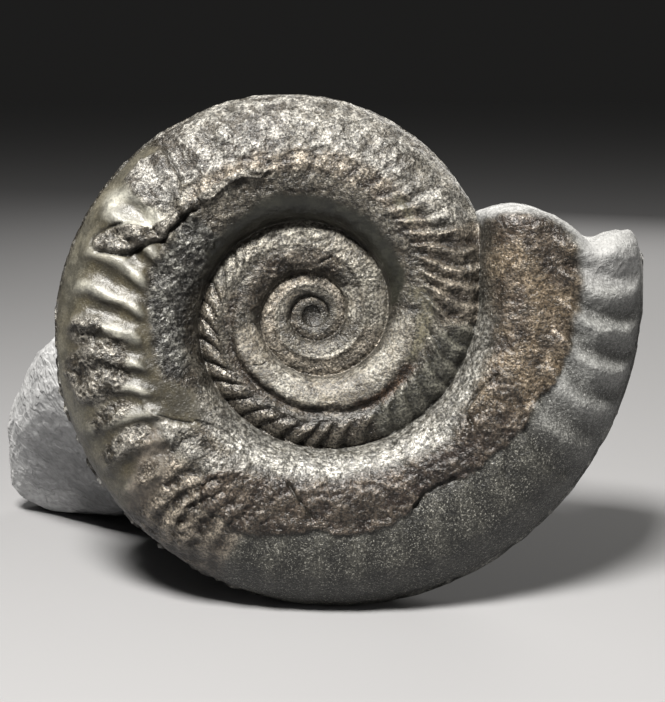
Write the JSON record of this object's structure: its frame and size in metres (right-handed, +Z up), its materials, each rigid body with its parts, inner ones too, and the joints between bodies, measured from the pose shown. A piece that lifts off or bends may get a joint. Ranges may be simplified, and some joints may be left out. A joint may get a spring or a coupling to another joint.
{
  "type": "hildoceras ammonite fossil",
  "caption": "Ribbed, keeled spiral ammonite fossil with a broken end, standing on its rim against a lump of its grey matrix rock.",
  "frame": {"origin": "centre of the small flat rest spot under the keel, on the ground", "axes": "+X to the right of the shown flank, towards the broken end; +Y to the back, where the rock is; +Z up"},
  "size_m": [0.1547, 0.0866, 0.1108],
  "materials": {
    "fossil_shell": "dark grey-brown mineralised shell, semi-gloss, with grey matt stone at the broken end",
    "matrix": "matt light grey limestone with fine tool marks"
  },
  "bodies": {
    "root": {"ammonite": "fossil_shell", "matrix_rock": "matrix"}
  },
  "joints": []
}
